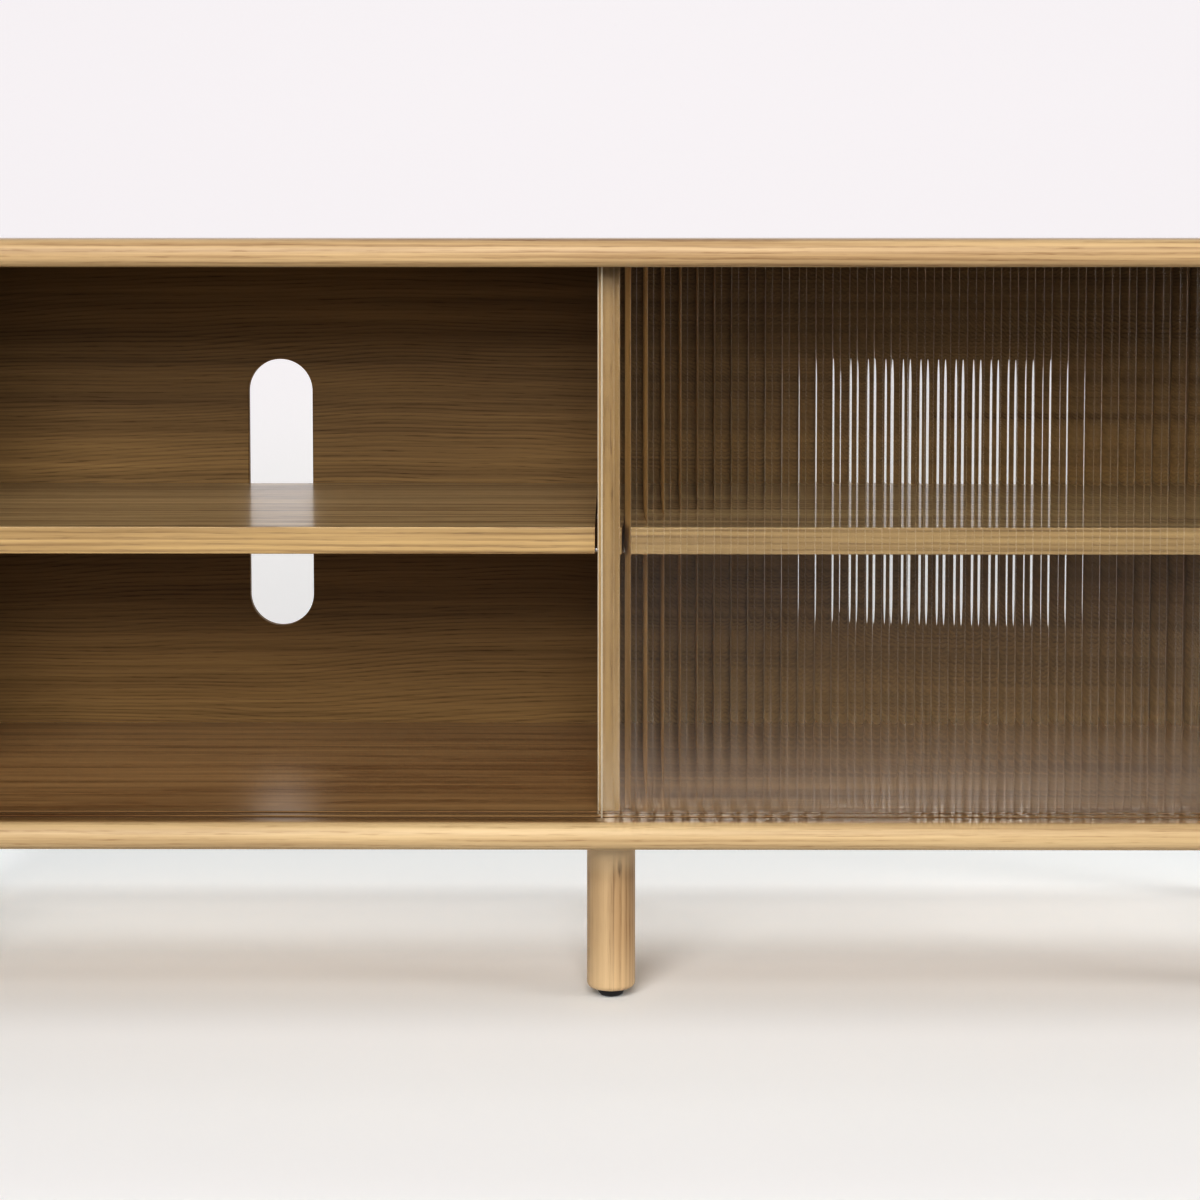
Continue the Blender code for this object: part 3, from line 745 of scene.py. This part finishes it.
def leg_stave(centre_x, top_z, knot):
    """Colours a leg glued from two staves: the right one is browner, and may have a small dark knot."""
    def shape(t, place, colour):
        x, _, z = t.split(place)
        x = t.maths("SUBTRACT", x, centre_x)
        right = t.band(x, STAVE_SEAM - STAVE_BLUR, STAVE_SEAM + STAVE_BLUR)
        colour = t.tint(t.maths("MULTIPLY", right, 0.30), colour, (0.80, 0.70, 0.58))
        from_seam = t.maths("ABSOLUTE", t.maths("SUBTRACT", x, STAVE_SEAM))
        seam = t.band(from_seam, 0.0001, 0.0006, 0.35, 0.0)
        if knot:
            across = t.maths("DIVIDE", t.maths("SUBTRACT", x, KNOT_X), KNOT_HALF_WIDTH)
            up = t.maths("DIVIDE", t.maths("SUBTRACT", z, KNOT_Z), KNOT_HALF_HEIGHT)
            far = t.maths("SQRT", t.maths("ADD", t.maths("POWER", across, 2.0), t.maths("POWER", up, 2.0)))
            far = t.maths("MULTIPLY_ADD", t.noise(t.scaled(place, (900.0, 900.0, 160.0)), 1.0, 3.0), 0.9, far)
            seam = t.maths("MAXIMUM", seam, t.band(far, 0.75, 1.5, 0.9, 0.0))
        colour = t.blend(seam, colour, (0.11, 0.058, 0.026, 1.0))
        # Painted light: the leg's top, in the shade under the board, and its foot near the floor are made paler
        painted_light_top = t.band(z, PAINTED_LIGHT_TOP_Z, top_z, 0.0, 1.2)
        painted_light_foot = t.band(z, PAINTED_LIGHT_FOOT_Z, 0.0, 0.0, 0.3)
        return t.blend(t.maths("MAXIMUM", painted_light_top, painted_light_foot), colour, (0.80, 0.63, 0.41, 1.0))
    return shape


def make_legs(black_look):
    under_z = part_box("bottom_panel")[0].z
    for row in ("front", "rear"):
        for column in ("left", "centre", "right"):
            place = f"{row}_{column}"
            low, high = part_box(f"leg_{place}")
            centre = (low + high) / 2
            radius, r = (high.x - low.x) / 2, LEG_FOOT_RADIUS
            profile = [(radius - r, low.z)]
            profile += [(x, z) for x, z in arc((radius - r, low.z + r), r, -math.pi / 2, 0, LEG_STEPS)][1:]
            profile.append((radius, high.z))
            bm = bmesh.new()
            turned(bm, profile, LEG_SIDES, (centre.x, centre.y, 0))
            stave = leg_stave(centre.x, under_z, place == "front_centre")
            look = oak(f"oak_leg_{place}", "z_front", (0.3 * centre.x, 0.05, 0.4 * centre.y), heart=0.12,
                       streak_strength=1.1, roughness=0.42, shape=stave, **TURNED)
            shade(piece(f"turned_leg_{place}", bm, look, f"leg_{place}"))

            low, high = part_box(f"glide_{place}")
            radius = (high.x - low.x) / 2
            profile = []
            for i in range(GLIDE_STEPS + 1):
                angle = math.pi / 2 * i / GLIDE_STEPS
                reach = GLIDE_FOOT_RADIUS + (radius - GLIDE_FOOT_RADIUS) * math.sin(angle)
                profile.append((reach, (GLIDE_HEIGHT - GLIDE_RIM) * (1 - math.cos(angle))))
            profile += [(radius, GLIDE_HEIGHT), (SPIGOT_RADIUS, GLIDE_HEIGHT), (SPIGOT_RADIUS, high.z)]
            bm = bmesh.new()
            turned(bm, profile, GLIDE_SIDES, (centre.x, centre.y, 0))
            shade(piece(f"domed_glide_{place}", bm, black_look, f"glide_{place}"))


# Studio ------------------------------------------------------------------------------------------

FLOOR_REACH = 5.0
WALL_Y = 2.6
COVE_RADIUS = 0.8
WALL_HEIGHT = 3.2
COVE_STEPS = 24
DARK_START = 0.62
DARK_END = 1.3

# The paper glows, more or less by where it is: painted light on the floor, kept low under the cabinet as a
# painted shadow there. Each fade runs from its first Y to its second.
GLOW_RISE = 0.45
BEHIND_FADE = (-0.100, 0.066)
FAR_FADE = (0.3, 1.5)
FORWARD_FADE = (-0.13, -0.25)
NEAR_FADE = (-0.34, -0.54)


def make_studio():
    """A pale floor with painted light and a painted shadow under the cabinet, curving up into a white, self-lit
    backdrop.
    """
    section = [(-FLOOR_REACH, 0.0)]
    section += arc((WALL_Y - COVE_RADIUS, COVE_RADIUS), COVE_RADIUS, -math.pi / 2, 0, COVE_STEPS)
    section.append((WALL_Y, WALL_HEIGHT))
    bm = bmesh.new()
    rows = [[bm.verts.new((x, y, z)) for y, z in section] for x in (-FLOOR_REACH, FLOOR_REACH)]
    for i in range(len(section) - 1):
        bm.faces.new((rows[0][i], rows[1][i], rows[1][i + 1], rows[0][i + 1]))
    sweep = plain_object("studio_sweep", bm)
    sweep.data.shade_smooth()
    t = Tree("sweep_paper")
    place = t.add("ShaderNodeTexCoord").outputs["Object"]
    _, y, z = t.split(place)
    rise = t.band(z, 0.0, GLOW_RISE)
    # Painted light: the floor's glow is low under the cabinet, as a painted shadow, and higher around it
    glow = t.blend(t.band(y, *BEHIND_FADE), (0.045, 0.054, 0.056, 1.0), (0.44, 0.478, 0.497, 1.0))
    glow = t.blend(t.band(y, *FAR_FADE), glow, (0.32, 0.323, 0.326, 1.0))
    glow = t.blend(t.band(y, *FORWARD_FADE), glow, (0.175, 0.178, 0.184, 1.0))
    glow = t.blend(t.band(y, *NEAR_FADE), glow, (0.075, 0.074, 0.085, 1.0))
    glow = t.blend(rise, glow, (0.86, 0.83, 0.845, 1.0))
    mottle = t.noise(place, 2.0)
    tone = t.blend(mottle, (0.74, 0.73, 0.715, 1.0), (0.76, 0.75, 0.735, 1.0))
    tone = t.blend(rise, tone, (0.10, 0.10, 0.10, 1.0))

    # Far in front the paper is pale to the camera and dark to reflections, so that the glass stays clear
    path = t.add("ShaderNodeLightPath")
    pale = t.maths("MAXIMUM", t.band(y, -DARK_END, -DARK_START), path.outputs["Is Camera Ray"])
    tone = t.blend(pale, (0.11, 0.105, 0.10, 1.0), tone)
    glow = t.blend(pale, (0.01, 0.01, 0.01, 1.0), glow)
    paper = t.add("ShaderNodeBsdfPrincipled", {
        "Base Color": tone, "Roughness": 0.9, "Specular IOR Level": 0.1,
        "Emission Color": glow, "Emission Strength": 1.0})
    # Only the sweep's inner side shows, so that a view from behind sees the cabinet through it
    one_sided = t.add("ShaderNodeMixShader", {0: t.add("ShaderNodeNewGeometry").outputs["Backfacing"],
                                              1: t.add("ShaderNodeBsdfTransparent").outputs[0],
                                              2: paper.outputs[0]})
    sweep.data.materials.append(t.finish(one_sided.outputs[0]))


# What the soft boxes point at
AIM = (0, -0.1, 0.35)


def area_light(name, place, target, size, power):
    lamp = bpy.data.lights.new(name, "AREA")
    lamp.shape = "RECTANGLE"
    lamp.size, lamp.size_y = size
    lamp.energy = power
    made = bpy.data.objects.new(name, lamp)
    made.location = place
    made.rotation_euler = (Vector(target) - Vector(place)).to_track_quat("-Z", "Y").to_euler()
    bpy.context.scene.collection.objects.link(made)
    return made


def make_lights():
    """Soft boxes in front and above, and one that rakes the divider's cheek without showing in the glass."""
    area_light("softbox_front", (-0.45, -2.80, 1.62), AIM, (1.9, 1.3), 98)
    area_light("softbox_high", (0.30, -2.20, 2.45), AIM, (1.6, 0.9), 18)
    area_light("softbox_low", (-0.40, -3.00, 0.90), AIM, (1.6, 0.6), 11)
    area_light("softbox_right", (2.40, -1.90, 1.30), AIM, (0.9, 0.9), 8)
    raking = area_light("softbox_raking", (2.40, -0.90, 0.62), (0, -0.08, 0.33), (0.7, 0.6), 20)
    raking.visible_glossy = False
    raking.visible_transmission = False
    area_light("softbox_above", (0.0, 0.9, 2.7), (0, 0.1, 0.3), (2.0, 1.0), 20)

    # The room is dark, but pale where the camera looks past the sweep
    world = bpy.data.worlds.new("studio_dark")
    world.use_nodes = True
    nodes, links = world.node_tree.nodes, world.node_tree.links
    seen = nodes.new("ShaderNodeMix")
    seen.data_type = "RGBA"
    seen.inputs[6].default_value = (0.02, 0.02, 0.022, 1)
    seen.inputs[7].default_value = (0.90, 0.875, 0.885, 1)
    links.new(nodes.new("ShaderNodeLightPath").outputs["Is Camera Ray"], seen.inputs[0])
    links.new(seen.outputs[2], nodes["Background"].inputs["Color"])
    bpy.context.scene.world = world


# Assembly ----------------------------------------------------------------------------------------


def dress(nodes, look):
    """Gives CAD nodes that stay as they are a better material."""
    for name in nodes:
        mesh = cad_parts[name].data
        mesh.materials.clear()
        mesh.materials.append(look)


# Wood colours, from the light wood to the dark
TOP = {"light": (0.535, 0.395, 0.228), "dark": (0.30, 0.19, 0.095)}
BOTTOM = {"light": (0.56, 0.43, 0.256), "dark": (0.33, 0.217, 0.11)}
TURNED = {"light": (0.49, 0.36, 0.215), "dark": (0.32, 0.215, 0.115)}
VENEER = {"light": (0.335, 0.218, 0.086), "dark": (0.135, 0.075, 0.022)}
SHELF = {"light": (0.445, 0.317, 0.160), "dark": (0.227, 0.144, 0.064)}
UPRIGHT = {"light": (0.44, 0.30, 0.135), "dark": (0.21, 0.126, 0.052)}
SIDE = {"light": (0.46, 0.33, 0.19), "dark": (0.26, 0.16, 0.08)}
BIRCH = {"light": (0.66, 0.52, 0.34), "dark": (0.5, 0.36, 0.2)}


def build():
    front = cad_box[0][1]
    nose_end = (front + NOSE_DEPTH * 0.6, front + NOSE_DEPTH * 1.3)
    shelf_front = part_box("shelf_left")[0].y
    shelf_edge = (shelf_front + 0.0002, shelf_front + 0.0008)
    looks = {
        "top_panel": oak("oak_top", "x_flat", (0.31, 0.11, 0.02), roughness=0.34, coat=0.2,
                         front=nose_end, nose_matt=0.16, **TOP),
        "bottom_panel": oak("oak_bottom", "x_flat", (-1.7, 0.06, 0.41), roughness=0.30, coat=1.0,
                            coat_roughness=0.30, ring_strength=0.22, streak_strength=1.0,
                            band_strength=1.1, front=nose_end, nose_matt=0.20, face_contrast=1.6,
                            face_tint=(0.84, 0.70, 0.55), shape=painted_shade_grooves, **BOTTOM),
        "side_panel_left": oak("oak_side_left", "z_front", (0.9, 0.12, 0.7), heart=0.05, sway=0.07,
                               **SIDE),
        "side_panel_right": oak("oak_side_right", "z_front", (2.9, 0.10, -0.7), heart=0.05, sway=0.07,
                                **SIDE),
    }
    make_boards(looks)
    make_divider(oak("oak_divider", "z_front", (0.2, 0.31, 0.05), ring=0.0026, ring_strength=0.32,
                     streak_strength=1.2, band_strength=0.6, sway=0.008, tilt=0.002,
                     shape=painted_light_cheeks, **UPRIGHT))
    shelf = {"ring": 0.0046, "ring_strength": 0.45, "band_strength": 1.7, "sway": 0.008, "tilt": 0.002,
             "roughness": 0.34, "coat": 0.6, "front": shelf_edge, "face_contrast": 0.8,
             "face_tint": (1.35, 1.48, 1.70)}
    make_shelves({
        "left": oak("oak_shelf_left", "x_flat", (3.3, 0.17, -0.333), **shelf, **SHELF),
        "right": oak("oak_shelf_right", "x_flat", (5.1, 0.09, -0.335), **shelf, **SHELF),
    })
    steel = speckled("zinc_steel", (0.62, 0.62, 0.64), (0.52, 0.53, 0.56), 0.28, 0.16, 1200, metallic=1.0)
    back = oak("oak_back", "x_upright", (0.9, -0.39, 0.15), heart=0.025, ring=0.003, ring_strength=0.35,
               streak_strength=1.25, sway=0.06, tilt=0.02, roughness=0.46, coat=0.0, gloss_level=0.3,
               **VENEER)
    make_back_board(back, steel)
    make_pins(steel)
    make_doors()
    black = speckled("black_nylon", (0.014, 0.014, 0.015), (0.022, 0.022, 0.023), 0.34, 0.14, 900)
    make_legs(black)
    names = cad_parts
    dress([n for n in names if n.startswith(("hanger_bolt", "leg_insert"))], steel)
    nylon = speckled("runner_nylon", (0.20, 0.135, 0.08), (0.24, 0.165, 0.10), 0.42, 0.15, 700)
    dress(["runner_front", "runner_rear"], nylon)
    birch = oak("birch", "x_flat", (7.0, 0.2, 0.3), **BIRCH)
    dress([n for n in names if n.startswith(("corner_spline", "divider_dowel"))], birch)
    make_studio()
    make_lights()
    look = bpy.context.scene.view_settings
    look.view_transform = "Standard"
    look.gamma = 0.714


build()
